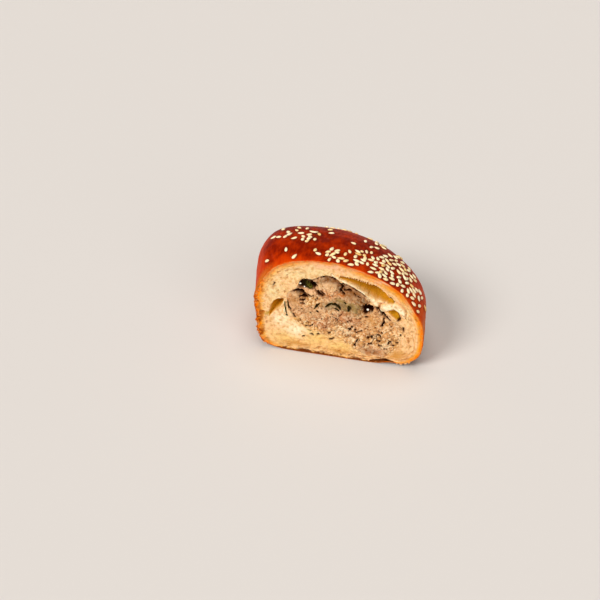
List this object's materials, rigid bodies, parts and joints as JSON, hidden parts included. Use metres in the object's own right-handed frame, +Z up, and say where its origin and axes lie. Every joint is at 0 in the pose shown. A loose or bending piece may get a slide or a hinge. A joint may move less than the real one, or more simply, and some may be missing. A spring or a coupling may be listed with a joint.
{
  "type": "hand pie",
  "caption": "Half of a baked hand pie, cut straight across: domed sesame crust, pale dough with air pockets, and a crumbly minced meat and herb filling.",
  "frame": {"origin": "on the flat base, in the middle of the outline box", "axes": "+Z up; -Y is the way the cut face looks; +X along the cut face, to the right as it is seen"},
  "size_m": [0.0927, 0.0616, 0.0601],
  "materials": {
    "baked_dough": "egg-washed and baked crust, pale soft crumb on the cut",
    "minced_meat": "cooked, moist, crumbly",
    "green_herb": "cooked, soft"
  },
  "bodies": {
    "root": {"pie_dough": "baked_dough", "meat_filling": "minced_meat", "herb_leaf": "green_herb"}
  },
  "joints": []
}
